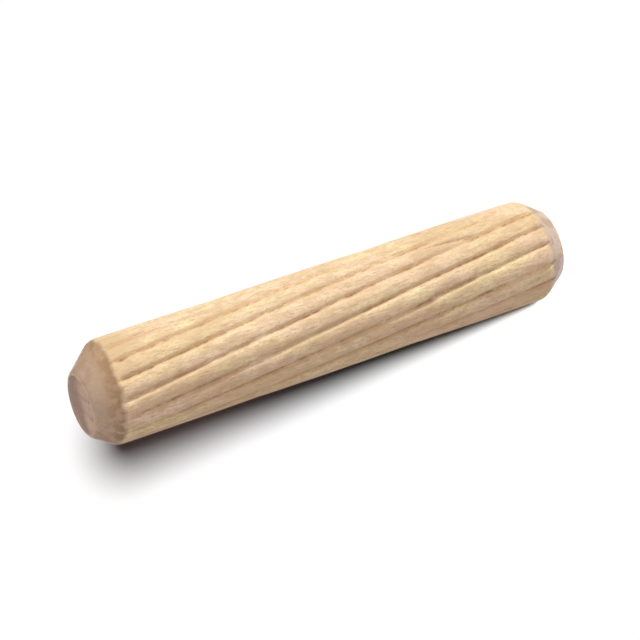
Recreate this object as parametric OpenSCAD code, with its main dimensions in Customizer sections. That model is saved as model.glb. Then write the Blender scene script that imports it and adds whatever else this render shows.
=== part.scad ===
// Fluted wooden dowel pin: a turned beech rod with pressed spiral flutes,
// sawn square at both ends and given a lead-in chamfer at each.
// It stands on one sawn end, with its axis along +Z and the origin in the middle of that end.

/* [Pin] */
// Diameter over the crowns between the flutes
pin_d = 8; // [6:0.5:12]
// Overall length from one sawn face to the other
pin_l = 40; // [25:1:80]

/* [Ends] */
// Length of the lead-in chamfer, measured along the axis
chamfer_l = 2; // [1:0.25:3]
// Diameter of the flat sawn face inside the chamfer, as a share of the pin diameter
face_share = 0.69; // [0.55:0.01:0.85]

/* [Flutes] */
// Number of flutes round the pin
flute_count = 16; // [12:1:20]
// Left-hand turn of a flute over the overall length, in degrees
flute_turn = 67; // [0:1:90]
// Depth of a flute below the crowns
flute_depth = 0.28; // [0.15:0.01:0.4]
// Width of a flute at its lips, as a share of the pitch between two flutes
flute_share = 0.35; // [0.25:0.01:0.45]
// Width of the flat foot of a flute, as a share of its width at the lips
foot_share = 0.2; // [0.1:0.05:0.5]
// Width of the crown that keeps the full diameter, as a share of the pitch
crown_share = 0.5; // [0.3:0.01:0.5]
// Drop from the crown to the lip of a flute, where the crown rolls over
shoulder_drop = 0.05; // [0.02:0.01:0.08]

/* [Hidden] */

// Radius over the crowns
crown_r = pin_d / 2;
// Radius of the flat sawn face
face_r = crown_r * face_share;
// Angle from one flute to the next
pitch_a = 360 / flute_count;
// Angles from the middle of a flute to the edge of its foot, its lip and the edge of the crown
lip_a = pitch_a * flute_share / 2;
foot_a = lip_a * foot_share;
crown_edge_a = pitch_a * (1 - crown_share) / 2;
// Radii at the foot and the lip of a flute
foot_r = crown_r - flute_depth;
lip_r = crown_r - shoulder_drop;
// How far the cutter of a flute stands out past the crowns
run_out = 0.1;
// Spread of the cutter's flank at that height, at the slope of the shoulder
flank_a = crown_edge_a + (crown_edge_a - lip_a) * run_out / shoulder_drop;
// Facets round the turned rod
rod_facets = 96;
// Steps along the length in which a flute turns
turn_steps = 24;

// A point of the section at a radius and an angle from the middle of a flute
function polar(r, a) = [r * cos(a), r * sin(a)];

// The turned rod with a chamfer at each end, revolved from half its section
module blank() {
    rotate_extrude($fn = rod_facets)
        polygon([
            [0, 0],
            [face_r, 0],
            [crown_r, chamfer_l],
            [crown_r, pin_l - chamfer_l],
            [face_r, pin_l],
            [0, pin_l]
        ]);
}

// Section of one flute: a blunt V with rolled shoulders, open to the outside
module flute_section() {
    polygon([
        polar(crown_r + run_out, -flank_a),
        polar(lip_r, -lip_a),
        polar(foot_r, -foot_a),
        polar(foot_r, foot_a),
        polar(lip_r, lip_a),
        polar(crown_r + run_out, flank_a)
    ]);
}

// One flute, turned to the left as it climbs the pin
module flute() {
    linear_extrude(height = pin_l, twist = flute_turn, slices = turn_steps)
        flute_section();
}

// The pin: one piece of wood, with the flutes running out through the chamfers
module dowel_pin() {
    color("burlywood")
        difference() {
            blank();
            for (i = [0 : flute_count - 1])
                rotate(i * pitch_a)
                    flute();
        }
}

dowel_pin();
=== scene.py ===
import math

import bmesh
import bpy
from mathutils import Matrix, Vector, noise


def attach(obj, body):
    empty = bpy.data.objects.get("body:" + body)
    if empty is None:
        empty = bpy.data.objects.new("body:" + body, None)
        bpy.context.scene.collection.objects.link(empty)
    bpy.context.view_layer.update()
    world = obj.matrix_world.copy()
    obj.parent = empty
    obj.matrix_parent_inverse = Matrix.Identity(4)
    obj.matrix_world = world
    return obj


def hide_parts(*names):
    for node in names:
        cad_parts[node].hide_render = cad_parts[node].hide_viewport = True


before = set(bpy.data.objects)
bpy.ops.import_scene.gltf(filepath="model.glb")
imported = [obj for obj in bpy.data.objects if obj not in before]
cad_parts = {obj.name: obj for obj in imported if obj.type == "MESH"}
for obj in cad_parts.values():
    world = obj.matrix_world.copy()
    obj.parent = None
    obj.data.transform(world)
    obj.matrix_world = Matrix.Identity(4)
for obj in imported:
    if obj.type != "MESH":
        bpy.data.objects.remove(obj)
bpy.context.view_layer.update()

# ---------------------------------------------------------------------------
# The dowel pin.
# A turned rod of raw beech, 8 mm over its crowns, with sixteen left-hand flutes rolled into its wall
# between hard knurls. It is then sawn to 40 mm, and both ends are cut to a lead-in chamfer.

MM = 0.001
PIN_LENGTH = 40 * MM
CROWN_RADIUS = 4 * MM

# The cutter met the upper end a little askew, so its sawn face is smaller and lies off centre.
CHAMFER_LENGTH = 2 * MM
UPPER_CHAMFER_LENGTH = 2.15 * MM
LOWER_FACE_RADIUS = 2.64 * MM
UPPER_FACE_RADIUS = 2.37 * MM
UPPER_FACE_MIDDLE = Vector((-0.36, 0.01, 0)) * MM
ASKEW_AT_ARRIS = 0.4            # the share of that offset that is left at the chamfer's outer edge

FLUTES = 16
PITCH = 2 * math.pi / FLUTES
FLUTE_TURN = math.radians(67) / PIN_LENGTH      # radians a metre, to the left going up
FLUTE_DEPTH = 0.28 * MM


def wander(x, y, z, seed):
    """Smooth drift between about -1 and 1, the same on each run."""
    return noise.noise(Vector((x + 17.3 * seed, y - 9.1 * seed, z + 4.7 * seed)))


def turned_apart(angle, other):
    """The difference of two angles, from minus half a turn to half a turn."""
    return (angle - other + math.pi) % (2 * math.pi) - math.pi


def soft_least(a, b, rounding):
    """The smaller of two radii, with the corner between them rounded off."""
    near = max(rounding - abs(a - b), 0) / rounding
    return min(a, b) - near * near * rounding / 4


def fade(value, start, end):
    """0 before start, 1 after end, and smooth between them."""
    share = min(max((value - start) / (end - start), 0), 1)
    return share * share * (3 - 2 * share)


# A flute has one steep flank, which the knurl pressed in, and an easier one, which it rolled out over.
STEEP_FLANK = math.radians(3.5)                 # width of each flank, from the bottom to the lip
EASY_FLANK = math.radians(4.4)
BLUNTNESS = 0.15                                # rounding of the bottom, as a share of a flank
FLANK_SAG = 0.35                                # how hollow a flank is
DEEPEST_SHARE = 1.15                            # the most that a deep flute counts for in its bruising and painted shade

# A crown rolls over towards the flutes on either side of it.
CROWN_DROP = 0.085 * MM                         # how far it has dropped by the lip
CROWN_FULLNESS = 1.9                            # how closely the drop keeps to the lip
DROP_WITH_DEPTH = 0.45                          # the share of the drop that goes with the flute's depth
PAST_LIP = 1.15                                 # how far into a flute the drop still grows

# How a flute drifts sideways along its length, and how unevenly it is pressed in: the amount, its
# length in millimetres, how far apart two flutes are in the noise, and the seed.
FLUTE_DRIFT = [
    (math.radians(0.38), 11, 2.9, 1),
    (math.radians(0.32), 2.6, 5.3, 2),
    (math.radians(0.36), 0.8, 4.1, 20),
]
FLUTE_UNEVENNESS = [
    (0.45, 8, 3.7, 3),
    (0.46, 1.9, 6.1, 4),
    (0.44, 0.6, 7.3, 21),
]

# The rod isn't quite round, so the knurls press less along two strips of its wall: the angle of each
# strip, how far it spreads, and the share of the depth that is lost in its middle.
SHALLOW_SIDES = [
    (math.radians(0), math.radians(42), 0.42),
    (math.radians(-103), math.radians(22), 0.24),
]

# The flutes are shallower too where they reach the upper chamfer.
END_LOSS = 0.55                                 # the share of the depth that is lost
END_LOSS_STARTS = 1.1 * MM                      # how far below the chamfer it starts and is in full
END_LOSS_ENDS = -0.1 * MM

# Flutes count from 0 at +X on the lower end. One of them was nudged aside by a chip under the knurl.
NUDGED_FLUTE = 12
NUDGE_HEIGHT = 11.9 * MM
NUDGE_REACH = 0.35 * MM
NUDGE = math.radians(1.7)

# Torn lines where a splinter lifted between two flutes: start angle, start height, end angle, end
# height, depth and width.
SPLINTERS = [
    (math.radians(-49.0), 12.0 * MM, math.radians(-54.5), 7.4 * MM, 0.17 * MM, 0.14 * MM),
    (math.radians(-107.5), 12.3 * MM, math.radians(-105.0), 11.6 * MM, 0.13 * MM, 0.14 * MM),
    (math.radians(96.0), 27.0 * MM, math.radians(91.0), 31.5 * MM, 0.09 * MM, 0.13 * MM),
    (math.radians(171.0), 9.0 * MM, math.radians(174.0), 5.5 * MM, 0.09 * MM, 0.12 * MM),
]
SPLINTER_REACH = 3                              # widths to either side, past which a tear isn't felt
SPLINTER_START = 0.35                           # the share of its depth that a tear starts with
SPLINTER_SLOPE = (-0.1, 0.9)                    # the shares of its length between which it deepens
TORN_DARK = 0.12 * MM                           # a tear this deep is as dark as the bottom of a flute

# Ripples and fibres in the wall: the height, the length across the grain and the length along it, all
# in millimetres, and the seed.
RIPPLES = [
    (0.010, 1.6, 7, 5),
    (0.007, 0.45, 3.2, 6),
    (0.0045, 0.16, 1.3, 7),
]

# How ragged the chamfers are cut: the depth, the length across and the length along the pin, all in
# millimetres, and the seed, which is one more at the upper end.
RAGGEDNESS = [
    (0.030, 0.8, 0.9, 8),
    (0.014, 0.22, 0.3, 10),
]
RAGGED_EXTRA = 0.010                            # added to it; what is then below 0 stays smooth
RAGGED_BY = 0.5 * MM                            # how far from the sawn face it is in full

ARRIS_ROUNDING = 0.24 * MM
CUT_FROM = -0.05 * MM                           # how deep the cutter goes where the wood starts to look
CUT_BY = 0.10 * MM                              # cut, and where it looks cut in full
CRUSHED_AND_SHADED_BELOW = 0.34 * MM                       # how deep under a flute the chamfer is still bruised and carries painted shade


def along_flute(flute, height, waves, start):
    """A start with waves added to it, which run along a flute and differ from one flute to the next."""
    for amount, length, apart, seed in waves:
        start += amount * wander(apart * flute, height / MM / length, 0, seed)
    return start


def flute_cut(angle, height):
    """Depth of the flute at a place on the wall, and how far into the flute it is, from 0 to 1."""
    along = angle + FLUTE_TURN * height
    flute = round(along / PITCH) % FLUTES
    drift = along_flute(flute, height, FLUTE_DRIFT, 0)
    if flute == NUDGED_FLUTE:
        drift += NUDGE * fade(height, NUDGE_HEIGHT + NUDGE_REACH, NUDGE_HEIGHT - NUDGE_REACH)
    off = turned_apart(along, flute * PITCH + drift)
    share = abs(off) / (STEEP_FLANK if off > 0 else EASY_FLANK)
    blunt = math.sqrt(share * share + BLUNTNESS ** 2) - BLUNTNESS * 0.5
    into = max(1 - blunt, 0)
    into = into - FLANK_SAG * into * (1 - into)
    pressed = along_flute(flute, height, FLUTE_UNEVENNESS, 1)
    for side, spread, loss in SHALLOW_SIDES:
        beside = turned_apart(angle, side) / spread
        pressed *= 1 - loss * math.exp(-beside * beside)
    from_arris = PIN_LENGTH - CHAMFER_LENGTH - height
    eased = END_LOSS * fade(from_arris, END_LOSS_STARTS, END_LOSS_ENDS)
    pressed *= 1 - eased
    lip = max((PITCH / 2 - abs(off)) / (PITCH / 2 - STEEP_FLANK), 0)
    rolled = CROWN_DROP * min(lip, PAST_LIP) ** CROWN_FULLNESS
    rolled *= 1 - DROP_WITH_DEPTH + DROP_WITH_DEPTH * pressed
    rolled *= 1 - eased
    return rolled + FLUTE_DEPTH * pressed * into, into * min(pressed, DEEPEST_SHARE)


def splinter_cut(angle, height):
    """Depth of the torn lines at a place on the wall."""
    deepest = 0
    for angle_a, height_a, angle_b, height_b, depth, width in SPLINTERS:
        across = turned_apart(angle, angle_a) * CROWN_RADIUS
        along = height - height_a
        reach_x = turned_apart(angle_b, angle_a) * CROWN_RADIUS
        reach_z = height_b - height_a
        share = (across * reach_x + along * reach_z) / (reach_x ** 2 + reach_z ** 2)
        held = min(max(share, 0), 1)
        apart = math.hypot(across - held * reach_x, along - held * reach_z) / width
        if apart < SPLINTER_REACH:
            deepened = SPLINTER_START + (1 - SPLINTER_START) * fade(share, *SPLINTER_SLOPE)
            deepest = max(deepest, depth * math.exp(-apart * apart) * deepened)
    return deepest


def place_round(angle):
    """Where the outside of the rod is at an angle, in millimetres from its axis."""
    return CROWN_RADIUS / MM * math.cos(angle), CROWN_RADIUS / MM * math.sin(angle)


def wall_radius(angle, height):
    """Radius of the fluted wall, and how deep in a flute it is, from 0 on a crown to 1 at the bottom."""
    x, y = place_round(angle)
    z = height / MM
    cut, pressed = flute_cut(angle, height)
    torn = splinter_cut(angle, height)
    ripple = 0
    for size, across, along, seed in RIPPLES:
        ripple += size * (1 + wander(x / across, y / across, z / along, seed))
    return CROWN_RADIUS - cut - torn - ripple * MM, max(pressed, torn / TORN_DARK)


def pin_surface(angle, height):
    """Radius of the wall with its chamfers, how bruised and painted with shade it is, how cut, and how far
    in on a chamfer.
    """
    wall, pressed = wall_radius(angle, height)
    from_end = min(height, PIN_LENGTH - height)
    upper = 1 if height > PIN_LENGTH / 2 else 0
    share_in = 1 - from_end / (UPPER_CHAMFER_LENGTH if upper else CHAMFER_LENGTH)
    face_radius = UPPER_FACE_RADIUS if upper else LOWER_FACE_RADIUS
    cone = CROWN_RADIUS + (face_radius - CROWN_RADIUS) * share_in
    if upper:
        middle = UPPER_FACE_MIDDLE * (ASKEW_AT_ARRIS + (1 - ASKEW_AT_ARRIS) * share_in)
        ahead = middle.x * math.cos(angle) + middle.y * math.sin(angle)
        beside = middle.x * math.sin(angle) - middle.y * math.cos(angle)
        cone = ahead + math.sqrt(cone * cone - beside * beside)
    inward = max((CROWN_RADIUS - cone) / (CROWN_RADIUS - face_radius), -1)
    x, y = place_round(angle)
    ragged = 0
    for size, across, along, seed in RAGGEDNESS:
        ragged += size * wander(x / across, y / across, from_end / MM / along, seed + upper)
    cone -= max(ragged + RAGGED_EXTRA, 0) * MM * fade(from_end, 0, RAGGED_BY)
    under = wall - cone
    cut = fade(under, CUT_FROM, CUT_BY)
    # How deep in a flute, which the material shows as bruising and painted shade, fading out under the
    # chamfer.
    bruise_and_shade = pressed * (1 - fade(under, 0, CRUSHED_AND_SHADED_BELOW))
    return soft_least(wall, cone, ARRIS_ROUNDING), bruise_and_shade, cut, inward


# Heights of the rings of the wall: close where the flutes run out through a chamfer, wider between.
RIM_REACH = 0.26 * MM                           # height of the rounded rim of a sawn face
ARRIS_FROM = CHAMFER_LENGTH - 0.80 * MM
ARRIS_TO = CHAMFER_LENGTH + 0.62 * MM
CHAMFER_RINGS = 6
ARRIS_RINGS = 25
BODY_RINGS = 134
SEGMENTS_A_FLUTE = 24

end_rings = [RIM_REACH]
for start, end, count in ((RIM_REACH, ARRIS_FROM, CHAMFER_RINGS), (ARRIS_FROM, ARRIS_TO, ARRIS_RINGS)):
    end_rings += [start + (end - start) * step / count for step in range(1, count + 1)]
body_span = PIN_LENGTH - 2 * ARRIS_TO
rings = list(end_rings)
rings += [ARRIS_TO + body_span * step / BODY_RINGS for step in range(1, BODY_RINGS)]
rings += [PIN_LENGTH - height for height in reversed(end_rings)]


def draw_out(shape, loop):
    """Extrudes a loop of edges, and returns the new loop and its points, which haven't moved yet."""
    drawn = bmesh.ops.extrude_edge_only(shape, edges=loop)["geom"]
    edges = [part for part in drawn if isinstance(part, bmesh.types.BMEdge)]
    points = [part for part in drawn if isinstance(part, bmesh.types.BMVert)]
    return edges, points


def climb(shape, points, rise):
    """Raises points, and turns them with the flutes as they rise."""
    turn = Matrix.Rotation(-FLUTE_TURN * rise, 3, "Z")
    bmesh.ops.rotate(shape, verts=points, cent=(0, 0, 0), matrix=turn)
    bmesh.ops.translate(shape, verts=points, vec=(0, 0, rise))


shape = bmesh.new()
bmesh.ops.create_circle(shape, segments=FLUTES * SEGMENTS_A_FLUTE, radius=CROWN_RADIUS)
climb(shape, shape.verts, rings[0])
first_loop = list(shape.edges)
last_loop = first_loop
for below, above in zip(rings, rings[1:]):
    last_loop, raised = draw_out(shape, last_loop)
    climb(shape, raised, above - below)

# What the material has to know of each point: how bruised it is and how much painted shade it carries in a
# flute, how cut, how far in on a chamfer from 0 at its outer edge to 1 at the sawn face, and whether it is
# sawn.
bruise_and_shade_layer = shape.verts.layers.float.new("bruise_and_shade")
cut_layer = shape.verts.layers.float.new("cut")
inward_layer = shape.verts.layers.float.new("inward")
sawn_layer = shape.verts.layers.float.new("sawn")
for vert in shape.verts:
    angle = math.atan2(vert.co.y, vert.co.x)
    radius, vert[bruise_and_shade_layer], vert[cut_layer], vert[inward_layer] = pin_surface(angle, vert.co.z)
    vert.co.x = radius * math.cos(angle)
    vert.co.y = radius * math.sin(angle)

# The sawn ends: rounded over at the rim, drawn in by rings, and closed at the middle.
RIM_ROUNDING = 0.32 * MM
RIM_RINGS = 6
FACE_RINGS = 14
FACE_CROWN = 0.06 * MM                          # the face stands a little proud in the middle
SAWN_FROM = 0.05 * MM                           # how far outside its radius it starts to look sawn
SAWN_BY = -0.12 * MM                            # and, just inside, where it looks sawn in full
SAME_POINT = 0.0002 * MM                        # points closer than this are one

# The saw leaves a face rough: the height and the length in millimetres, and the seed.
SAW_MARKS = [
    (0.010, 0.9, 12),
    (0.009, 0.22, 14),
]

# Loop of edges, height, which way is in, chamfer length, face radius and the middle of the face.
lower_end = (first_loop, 0, 1, CHAMFER_LENGTH, LOWER_FACE_RADIUS, Vector((0, 0, 0)))
upper_end = (last_loop, PIN_LENGTH, -1, UPPER_CHAMFER_LENGTH, UPPER_FACE_RADIUS, UPPER_FACE_MIDDLE)
for loop, edge_height, inwards, chamfer_length, face_radius, middle in (lower_end, upper_end):
    slope = (CROWN_RADIUS - face_radius) / chamfer_length
    face_rings = []
    for step in range(1, RIM_RINGS + 1):
        past = step / RIM_RINGS
        rise = RIM_REACH * (1 - past) ** 2
        face_rings.append((face_radius + slope * rise - RIM_ROUNDING * past ** 2, rise))
    inner_radius = face_radius - RIM_ROUNDING
    for step in range(1, FACE_RINGS + 1):
        face_rings.append((inner_radius * (1 - step / (FACE_RINGS + 1)), 0))
    about = Matrix.Translation(-middle)
    reach = face_radius + slope * RIM_REACH
    for ring_radius, rise in face_rings:
        loop, moved = draw_out(shape, loop)
        share = ring_radius / reach
        bmesh.ops.scale(shape, verts=moved, vec=(share, share, 1), space=about)
        reach = ring_radius
        for vert in moved:
            x, y = vert.co.x / MM, vert.co.y / MM
            rough = 0
            for size, length, seed in SAW_MARKS:
                rough += size * (1 + wander(x / length, y / length, 0, seed + inwards))
            sunk = FACE_CROWN * (ring_radius / face_radius) ** 3 + rough * MM
            vert.co.z = edge_height + inwards * (rise + sunk * (1 - rise / RIM_REACH))
            vert[sawn_layer] = fade(ring_radius, face_radius + SAWN_FROM, face_radius + SAWN_BY)
            vert[cut_layer] = 1
            vert[inward_layer] = 1
            vert[bruise_and_shade_layer] = 0
    cap = bmesh.ops.edgeloop_fill(shape, edges=loop)["faces"]
    bmesh.ops.poke(shape, faces=cap)

bmesh.ops.remove_doubles(shape, verts=shape.verts, dist=SAME_POINT)
bmesh.ops.recalc_face_normals(shape, faces=shape.faces)
for face in shape.faces:
    face.smooth = True


def turn_in_list(face):
    """A number from the points of a face, which no other face has."""
    points = [vert.index for vert in face.verts]
    return min(points) * 4 * len(shape.verts) + sum(points)


# Drawing out leaves the faces in an order that changes from run to run, so they are sorted.
shape.verts.index_update()
shape.faces.sort(key=turn_in_list)

pin_mesh = bpy.data.meshes.new("fluted_pin")
shape.to_mesh(pin_mesh)
shape.free()
pin = bpy.data.objects.new("fluted_pin", pin_mesh)
bpy.context.scene.collection.objects.link(pin)


class Amount:
    """A value inside a material, which can be reckoned with as a number is."""

    def __init__(self, tree, socket):
        self.tree = tree
        self.socket = socket

    def reckon(self, operation, first, second):
        """Adds the node for one step of the reckoning, and returns what comes out of it."""
        made = self.tree.nodes.new("ShaderNodeMath")
        made.operation = operation
        for place, value in enumerate((first, second)):
            if isinstance(value, Amount):
                self.tree.links.new(value.socket, made.inputs[place])
            else:
                made.inputs[place].default_value = value
        return Amount(self.tree, made.outputs[0])

    def __add__(self, other):
        return self.reckon("ADD", self, other)

    def __sub__(self, other):
        return self.reckon("SUBTRACT", self, other)

    def __rsub__(self, other):
        return self.reckon("SUBTRACT", other, self)

    def __mul__(self, other):
        return self.reckon("MULTIPLY", self, other)

    def __truediv__(self, other):
        return self.reckon("DIVIDE", self, other)

    def __rtruediv__(self, other):
        return self.reckon("DIVIDE", other, self)

    __radd__ = __add__
    __rmul__ = __mul__


class Finish:
    """The shading of a material or of the room, with one way to add a node to it."""

    def __init__(self, owner):
        owner.use_nodes = True
        self.tree = owner.node_tree
        self.tree.nodes.clear()

    def node(self, kind, settings, sockets, *outputs):
        """Adds a node, sets it up, gives its sockets values or links, and returns the outputs asked."""
        made = self.tree.nodes.new(kind)
        for name, value in settings.items():
            setattr(made, name, value)
        for name, value in sockets.items():
            if isinstance(value, Amount):
                self.tree.links.new(value.socket, made.inputs[name])
            else:
                made.inputs[name].default_value = value
        if not made.outputs:
            return None
        asked = [Amount(self.tree, made.outputs[name]) for name in outputs or (0,)]
        return asked if len(asked) > 1 else asked[0]

    def between(self, value, low, high):
        """0 at low, 1 at high, and smooth between them."""
        settings = {"interpolation_type": "SMOOTHSTEP"}
        sockets = {"Value": value, "From Min": low, "From Max": high}
        return self.node("ShaderNodeMapRange", settings, sockets)

    def stretched(self, source, x, y, z):
        """Coordinates scaled a different amount along each direction."""
        return self.node("ShaderNodeVectorMath", {"operation": "MULTIPLY"}, {0: source, 1: (x, y, z)})

    def cloud(self, source, detail, roughness):
        """Soft noise about 0.5, one unit of the coordinates across."""
        sockets = {"Vector": source, "Scale": 1, "Detail": detail, "Roughness": roughness}
        return self.node("ShaderNodeTexNoise", {}, sockets)

    def laid_over(self, under, layers):
        """A colour with layers over it, from the first to the last: where each shows, and its colour."""
        for share, over in layers:
            under = self.node("ShaderNodeMix", {"data_type": "RGBA"}, {0: share, 6: under, 7: over}, 2)
        return under


beech_material = bpy.data.materials.new("raw_beech")
beech = Finish(beech_material)
place = beech.node("ShaderNodeTexCoord", {}, {}, "Object")
height = beech.node("ShaderNodeSeparateXYZ", {}, {"Vector": place}, "Z")
bruise_and_shade = beech.node("ShaderNodeAttribute", {"attribute_name": "bruise_and_shade"}, {}, "Fac")
cut = beech.node("ShaderNodeAttribute", {"attribute_name": "cut"}, {}, "Fac")
inward = beech.node("ShaderNodeAttribute", {"attribute_name": "inward"}, {}, "Fac")
sawn = beech.node("ShaderNodeAttribute", {"attribute_name": "sawn"}, {}, "Fac")

# Grain coordinates in millimetres, with the heart of the tree off to one side of the pin.
HEART = (-21.0, 11.0, 0.0)
GRAIN_TILT = (math.radians(1.6), math.radians(-1.1), 0.0)
TO_MILLIMETRES = (1 / MM, 1 / MM, 1 / MM)
to_grain = {"Vector": place, "Location": HEART, "Rotation": GRAIN_TILT, "Scale": TO_MILLIMETRES}
grain = beech.node("ShaderNodeMapping", {}, to_grain)
flat_grain = beech.stretched(grain, 1, 1, 0)
from_heart = beech.node("ShaderNodeVectorMath", {"operation": "LENGTH"}, {0: flat_grain}, "Value")


def in_grain(across, along, detail, roughness):
    """Noise that follows the grain, with so many swells to a millimetre across it and along it."""
    return beech.cloud(beech.stretched(grain, across, across, along), detail, roughness)


def spots(across, along, middle, edge):
    """Small spots drawn out along the grain: 1 in the middle of each, and 0 past its edge."""
    sockets = {"Vector": beech.stretched(grain, across, across, along), "Scale": 1}
    return 1 - beech.between(beech.node("ShaderNodeTexVoronoi", {}, sockets), middle, edge)


def out_to(bearing, reach):
    """How far a place lies out to one side of the pin, as a share of a reach, with the far side below 0."""
    turn = math.radians(bearing)
    side = Vector((math.cos(turn), math.sin(turn), 0)) / reach
    return beech.node("ShaderNodeVectorMath", {"operation": "DOT_PRODUCT"}, {0: place, 1: side}, "Value")


# Broad patches, and a tint that drifts from yellow to pink, both drawn out along the grain.
patches = in_grain(0.42, 0.15, 3, 0.55)
tint = in_grain(0.50, 0.17, 3, 0.55)
blotch = in_grain(2.1, 0.75, 4, 0.65)

# Growth rings, a little wavy.
RING_WIDTH = 1.35               # both in millimetres
RING_WAVE = 1.6
rings_out = (from_heart + patches * RING_WAVE) / RING_WIDTH
in_ring = beech.node("ShaderNodeMath", {"operation": "FRACT"}, {0: rings_out})
late_wood = beech.between(in_ring, 0.45, 0.95) * (1 - beech.between(in_ring, 0.95, 1.0))

# Short ray flecks, fine pores, fibres, stains and torn fibre, all along the grain.
fleck = spots(4.6, 0.85, 0.10, 0.34)
pore = spots(8.5, 2.2, 0.08, 0.30)
fibre = in_grain(9.0, 0.45, 3, 0.65)
speckle = in_grain(7.5, 3.2, 2, 0.7)
stain = in_grain(1.8, 0.6, 3, 0.6)
torn_bits = beech.between(in_grain(3.2, 2.4, 3, 0.8), 0.44, 0.57)

# Painted shade: one side of the wall below the upper end is browner and darker, as if in shade.
END_SHADE_BEARING = -30
END_SHADE_FROM = PIN_LENGTH - 6.5 * MM
END_SHADE_BY = PIN_LENGTH - 2.2 * MM
END_SHADE_WAVER = 6 * MM
to_end_shade = out_to(END_SHADE_BEARING, CROWN_RADIUS)
up_to = height + (tint - 0.5) * END_SHADE_WAVER
painted_end_shade = beech.between(up_to, END_SHADE_FROM, END_SHADE_BY) * beech.between(to_end_shade, 0.45, 0.95)

YELLOW = (0.97, 0.790, 0.452, 1)
PINK = (0.93, 0.690, 0.480, 1)
WARM = (0.76, 0.525, 0.300, 1)
LATE = (0.69, 0.470, 0.280, 1)
END_SHADE = (0.64, 0.440, 0.235, 1)
FLECK = (0.52, 0.320, 0.180, 1)
BRUISE_AND_SHADE = (0.46, 0.285, 0.155, 1)

# The wall, from its broadest variation to its finest, and last the flutes, which are warmer than the crowns
# where the knurls rubbed them, and darker towards their bottoms, partly where they tore the fibres and
# partly as painted shade.
rubbed_in = 0.10 + 0.50 * torn_bits
darkened_and_shaded_in = 0.04 + 0.32 * beech.between(stain, 0.38, 0.58) + 0.60 * torn_bits
wall = beech.laid_over(YELLOW, [
    (beech.between(tint, 0.38, 0.58), PINK),
    (0.72 * beech.between(patches, 0.42, 0.62), WARM),
    (0.22 * late_wood, LATE),
    # painted shade on one side of the wall below the upper end
    (0.75 * painted_end_shade, END_SHADE),
    (0.66 * beech.between(blotch, 0.44, 0.62), LATE),
    (0.50 * beech.between(fibre, 0.46, 0.68), LATE),
    (0.55 * beech.between(speckle, 0.47, 0.64), LATE),
    (0.50 * fleck, FLECK),
    (0.46 * pore, FLECK),
    (rubbed_in * beech.between(bruise_and_shade, 0.10, 0.70), WARM),
    # partly painted shade: the flute bottoms are darker, besides the torn and stained fibre
    (darkened_and_shaded_in * beech.between(bruise_and_shade, 0.40, 0.90), BRUISE_AND_SHADE),
])

CHAMFER_OUTER = (0.465, 0.307, 0.182, 1)
CHAMFER_INNER = (0.455, 0.320, 0.226, 1)
CHAMFER_UNSHADED = (0.64, 0.465, 0.352, 1)
CHAMFER_TABLE_LIGHT = (0.74, 0.630, 0.540, 1)
CHAMFER_DARK = (0.36, 0.225, 0.140, 1)
CHAMFER_BRUISE_AND_SHADE = (0.32, 0.185, 0.100, 1)
RUBBED_BEARING = -112

# A chamfer is browner and burnished next to the wall, and paler and greyer towards the sawn face. Its side
# under the wall's painted end shade is darker and its far side paler, a painted shade; the lower one is
# paler all over, painted light from the table under it, and less marked.
lower = beech.between(height, 0.5 * PIN_LENGTH, 0.4 * PIN_LENGTH)
# Painted shade: the chamfer is darker on the side of the painted end shade and paler away from it.
away_from_end_shade = beech.between(to_end_shade, 0.3, -0.5)
end_mottle = in_grain(0.9, 0.9, 4, 0.6)
end_blotch = in_grain(1.1, 0.8, 3, 0.6)
end_grit = in_grain(7.0, 4.0, 2, 0.6)
near_arris = 1 - beech.between(inward, 0.15, 0.60)
rubbed_patches = end_blotch + 0.10 * out_to(RUBBED_BEARING, CROWN_RADIUS)
rubbed = near_arris * beech.between(rubbed_patches, 0.50, 0.60)
chamfer = beech.laid_over(CHAMFER_OUTER, [
    (beech.between(inward, 0.25, 0.80), CHAMFER_INNER),
    (0.65 * away_from_end_shade, CHAMFER_UNSHADED),
    # painted light: the lower chamfer is paler, as if lit from the table below it
    (lower * (0.52 + 0.43 * away_from_end_shade), CHAMFER_TABLE_LIGHT),
    (0.50 * beech.between(end_mottle, 0.48, 0.62), CHAMFER_DARK),
    (0.35 * beech.between(end_grit, 0.50, 0.70), CHAMFER_DARK),
    (rubbed * (0.68 - 0.60 * lower), CHAMFER_BRUISE_AND_SHADE),
    # partly painted shade: the chamfer is darkened where the flutes run out into it
    (beech.between(bruise_and_shade, 0.05, 0.55) * (0.70 - 0.60 * lower), CHAMFER_BRUISE_AND_SHADE),
])

SAWN_PALE = (0.60, 0.418, 0.308, 1)
SAWN_DARK = (0.24, 0.138, 0.105, 1)
RAY_PALE = (0.62, 0.450, 0.335, 1)
RIM_HIGHLIGHT = (0.66, 0.490, 0.370, 1)
DARK_BEARING = 75
DARK_WAVER = 1.3                # how far the edge of the dark side wavers, in millimetres
RAYS_A_RADIAN = 95
RAY_BREAKS = 0.45               # breaks in a ray to a millimetre, going out from the heart

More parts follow.
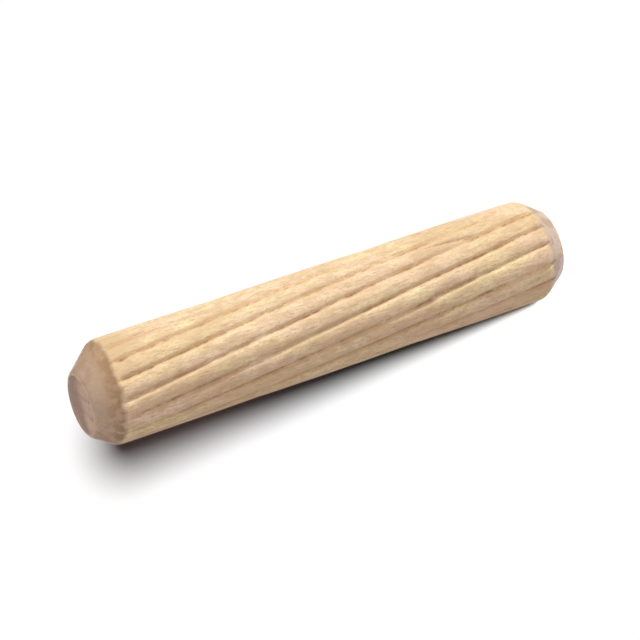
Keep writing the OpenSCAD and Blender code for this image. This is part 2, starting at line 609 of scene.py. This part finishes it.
# A sawn face is grey-brown end grain, darker to one side, with rings, pores and pale rays across them.
heart_x, heart_y = beech.node("ShaderNodeSeparateXYZ", {}, {"Vector": grain}, "X", "Y")
round_heart = beech.node("ShaderNodeMath", {"operation": "ARCTAN2"}, {0: heart_y, 1: heart_x})
along_rays = {"X": round_heart * RAYS_A_RADIAN, "Y": from_heart * RAY_BREAKS}
ray = beech.between(beech.cloud(beech.node("ShaderNodeCombineXYZ", {}, along_rays), 2, 0.5), 0.53, 0.68)
dark_side = out_to(DARK_BEARING, MM) + (end_mottle - 0.5) * DARK_WAVER
face = beech.laid_over(SAWN_PALE, [
    (0.80 * beech.between(dark_side, -1.15, 0.05), SAWN_DARK),
    (0.45 * beech.between(end_grit, 0.50, 0.68), SAWN_DARK),
    (0.35 * pore, SAWN_DARK),
    (0.34 * late_wood, SAWN_DARK),
    (0.34 * ray, RAY_PALE),
])

# The chamfer meets the wall on a wavering line, which lies a little further in at the lower end. The rim of
# a sawn face carries a pale painted highlight in places, where its edge would catch the light.
ARRIS_WAVER = 0.35              # these two as a share of the chamfer
LOWER_ARRIS_IN = 0.12
onto_chamfer = inward + (end_mottle - 0.5) * ARRIS_WAVER - lower * LOWER_ARRIS_IN
painted_rim_highlight = sawn * (1 - sawn) * 4 * beech.between(end_blotch, 0.44, 0.56)
wood = beech.laid_over(wall, [
    (beech.between(onto_chamfer, -0.10, 0.12), chamfer),
    (sawn, face),
    # painted highlight on the rim of the sawn face
    (0.6 * painted_rim_highlight, RIM_HIGHLIGHT),
])

BUMP_STRENGTH = 0.7
BUMP_HEIGHT = 0.05 * MM
SHEEN_OF_WOOD = 0.28            # raw beech is a little duller than a sealed surface

rough = 0.62 + 0.08 * tint + 0.08 * cut - 0.06 * bruise_and_shade
side_relief = fibre * 0.6 + speckle * 0.4 - fleck * 0.20 - pore * 0.25
end_relief = end_grit * 0.6 + end_mottle * 0.5
relief = side_relief + (end_relief - side_relief) * cut
raised = {"Strength": BUMP_STRENGTH, "Distance": BUMP_HEIGHT, "Height": relief}
bump = beech.node("ShaderNodeBump", {}, raised)
looks = {"Base Color": wood, "Roughness": rough, "Normal": bump, "Specular IOR Level": SHEEN_OF_WOOD}
shader = beech.node("ShaderNodeBsdfPrincipled", {}, looks)
beech.node("ShaderNodeOutputMaterial", {}, {"Surface": shader})
pin_mesh.materials.append(beech_material)

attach(pin, "root")
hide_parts("dowel_pin")


# ---------------------------------------------------------------------------
# The floor.
# A plain white table that the pin stands on, so wide that its edge is out of sight. It is seen as white
# from every side and keeps the pin's shadow, but throws only a little light back up at the pin.

FLOOR_HALF = 3.0
FLOOR_SEEN = (0.95, 0.95, 0.95, 1)
FLOOR_LIGHTING = (0.25, 0.25, 0.25, 1)          # what it is to the light that it throws back
SEEN_RAYS = ("Is Camera Ray", "Is Glossy Ray", "Is Transmission Ray")

plane = bmesh.new()
bmesh.ops.create_grid(plane, x_segments=1, y_segments=1, size=FLOOR_HALF)
floor_mesh = bpy.data.meshes.new("floor")
plane.to_mesh(floor_mesh)
plane.free()
floor = bpy.data.objects.new("floor", floor_mesh)
bpy.context.scene.collection.objects.link(floor)

table_material = bpy.data.materials.new("white_table")
table = Finish(table_material)
camera_ray, glossy_ray, through_ray = table.node("ShaderNodeLightPath", {}, {}, *SEEN_RAYS)
seen = camera_ray + glossy_ray + through_ray
lighting = table.node("ShaderNodeBsdfDiffuse", {}, {"Color": FLOOR_LIGHTING})
shown = table.node("ShaderNodeBsdfDiffuse", {}, {"Color": FLOOR_SEEN})
mixed = table.node("ShaderNodeMixShader", {}, {0: seen, 1: lighting, 2: shown})
table.node("ShaderNodeOutputMaterial", {}, {"Surface": mixed})
floor_mesh.materials.append(table_material)


# ---------------------------------------------------------------------------
# The camera.
# Close to the pin and above it, looking down at a slant, and rolled over so that the standing pin lies
# across the view, with its upper end near and to the left.

CAMERA_BEARING = math.radians(-91.4)
CAMERA_RISE = math.radians(22)
CAMERA_ROLL = math.radians(18.6)
CAMERA_AWAY = 0.240
CAMERA_LENS = 180
SENSOR_WIDTH = 36
CAMERA_NEAREST = 0.01
CAMERA_FARTHEST = 10
AIM = Vector((0, 0, PIN_LENGTH / 2))

towards = Vector((math.cos(CAMERA_BEARING), math.sin(CAMERA_BEARING), 0))
sideways = Vector((-math.sin(CAMERA_BEARING), math.cos(CAMERA_BEARING), 0))
upright = Vector((0, 0, 1))
back = upright * math.sin(CAMERA_RISE) + towards * math.cos(CAMERA_RISE)
over = towards * math.sin(CAMERA_RISE) - upright * math.cos(CAMERA_RISE)
right = over * math.cos(CAMERA_ROLL) - sideways * math.sin(CAMERA_ROLL)
above = over * math.sin(CAMERA_ROLL) + sideways * math.cos(CAMERA_ROLL)

lens = bpy.data.cameras.new("camera")
lens.lens = CAMERA_LENS
lens.sensor_width = SENSOR_WIDTH
lens.clip_start = CAMERA_NEAREST
lens.clip_end = CAMERA_FARTHEST
camera = bpy.data.objects.new("camera", lens)
camera.matrix_world = Matrix((right, above, back)).transposed().to_4x4()
camera.location = AIM + back * CAMERA_AWAY
bpy.context.scene.collection.objects.link(camera)
bpy.context.scene.camera = camera


# ---------------------------------------------------------------------------
# The light.
# Plain soft light: five lamps that light only the pin, two low ones that light only the table, up to
# white, and throw the pin's shadow on it, and an even room that is seen as white.

PIN_ONLY = bpy.data.collections.new("lit_pin")
PIN_ONLY.objects.link(pin)
TABLE_ONLY = bpy.data.collections.new("lit_table")
TABLE_ONLY.objects.link(floor)


def far_lamp(name, bearing, rise, spread, strength, colour, lit):
    """A soft lamp, too far off to fall away, that lights only one collection. Only the pin shades it.

    The bearing is taken round from the camera's, and it, the rise and the spread are in degrees. At
    strength 1 a colour that faces the lamp shows as it is.
    """
    light = bpy.data.lights.new(name, "SUN")
    light.angle = math.radians(spread)
    light.energy = strength * math.pi
    light.color = colour
    lamp = bpy.data.objects.new(name, light)
    turn = CAMERA_BEARING + math.radians(bearing)
    tilt = math.radians(rise)
    level = math.cos(tilt)
    direction = Vector((math.cos(turn) * level, math.sin(turn) * level, math.sin(tilt)))
    lamp.rotation_euler = direction.to_track_quat("Z", "Y").to_euler()
    lamp.light_linking.receiver_collection = lit
    lamp.light_linking.blocker_collection = PIN_ONLY
    bpy.context.scene.collection.objects.link(lamp)


far_lamp("key", 63, -12, 18, 0.84, (0.975, 1.0, 0.950), PIN_ONLY)
far_lamp("front_fill", 20, 0, 62, 0.33, (1.0, 0.955, 0.985), PIN_ONLY)
far_lamp("upper_end_fill", -50, 80, 60, 0.62, (1.0, 0.98, 0.98), PIN_ONLY)
far_lamp("lower_end_fill", -80, -68, 40, 0.46, (1.0, 0.94, 1.05), PIN_ONLY)
far_lamp("back_fill", 180, -4, 20, 0.72, (1.0, 0.98, 0.97), PIN_ONLY)
far_lamp("table_lamp", 2.8, 17.6, 3.0, 3.44, (1.0, 1.0, 1.0), TABLE_ONLY)
far_lamp("table_dome", 8, 28, 8, 0.08, (1.0, 0.55, 0.48), TABLE_ONLY)

WHITE = (1, 1, 1, 1)
ROOM_LIGHT = 0.01
ROOM_SEEN = 1.0

world = bpy.data.worlds.new("studio")
bpy.context.scene.world = world
room = Finish(world)
camera_ray, glossy_ray, through_ray = room.node("ShaderNodeLightPath", {}, {}, *SEEN_RAYS)
seen = camera_ray + glossy_ray + through_ray
even = room.node("ShaderNodeBackground", {}, {"Color": WHITE, "Strength": ROOM_LIGHT})
blank = room.node("ShaderNodeBackground", {}, {"Color": WHITE, "Strength": ROOM_SEEN})
mixed = room.node("ShaderNodeMixShader", {}, {0: seen, 1: even, 2: blank})
room.node("ShaderNodeOutputWorld", {}, {"Surface": mixed})

bpy.context.scene.view_settings.view_transform = "Standard"
